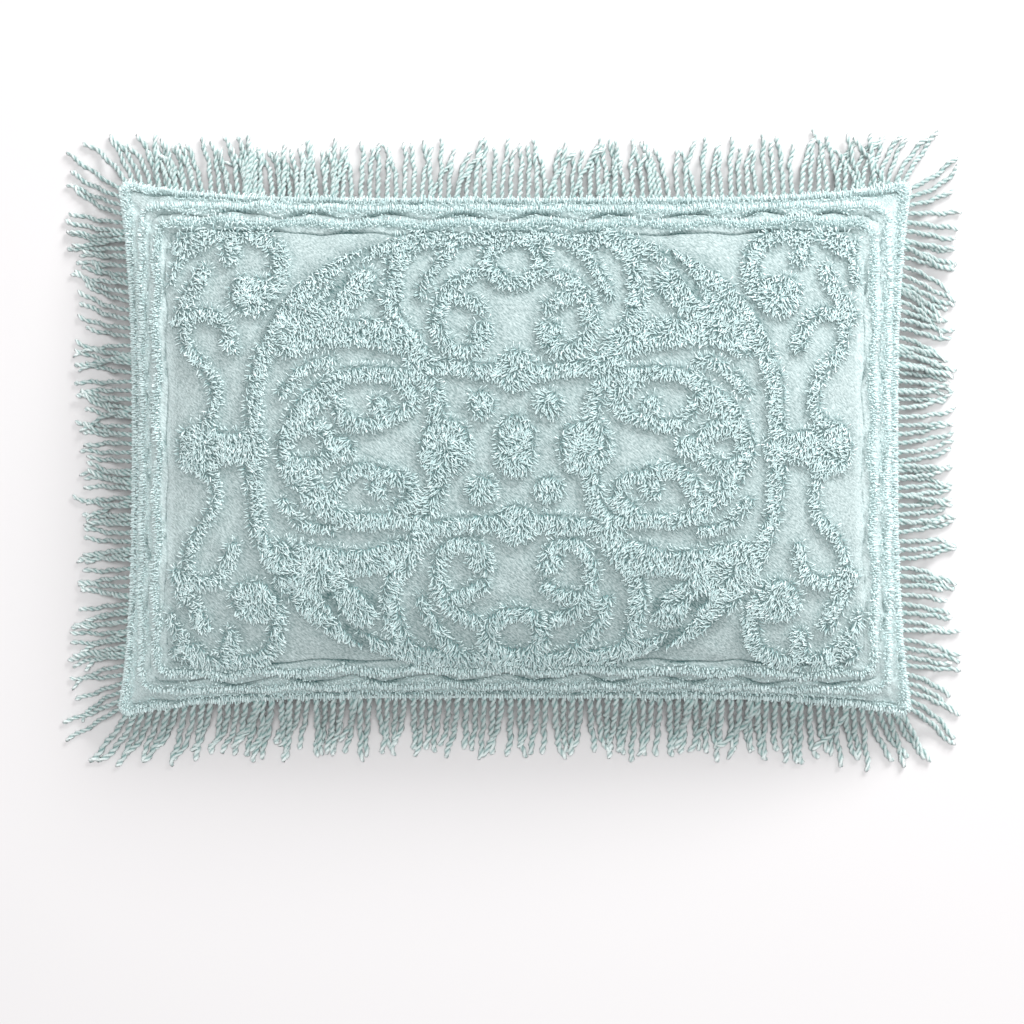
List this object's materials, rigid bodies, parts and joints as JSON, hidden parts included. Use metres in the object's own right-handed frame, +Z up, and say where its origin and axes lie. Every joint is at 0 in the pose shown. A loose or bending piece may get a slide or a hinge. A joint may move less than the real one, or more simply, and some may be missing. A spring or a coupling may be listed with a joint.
{
  "type": "filled chenille pillow sham",
  "caption": "Oblong padded chenille pillow sham with a tufted medallion, tufted border rows and twisted bullion fringe sewn into the seam all round.",
  "frame": {"origin": "under the middle of the whole, on the surface it rests on", "axes": "+X along the long sides, +Z up out of the tufted face"},
  "size_m": [0.8614, 0.6096, 0.1359],
  "materials": {
    "cover_cotton": "matte woven cotton with cut cotton pile, pale sea green",
    "fringe_cotton": "matte twisted cotton rope, pale sea green"
  },
  "bodies": {
    "root": {"sham": "cover_cotton", "fringe_front": "fringe_cotton", "fringe_right": "fringe_cotton", "fringe_back": "fringe_cotton", "fringe_left": "fringe_cotton"}
  },
  "joints": []
}
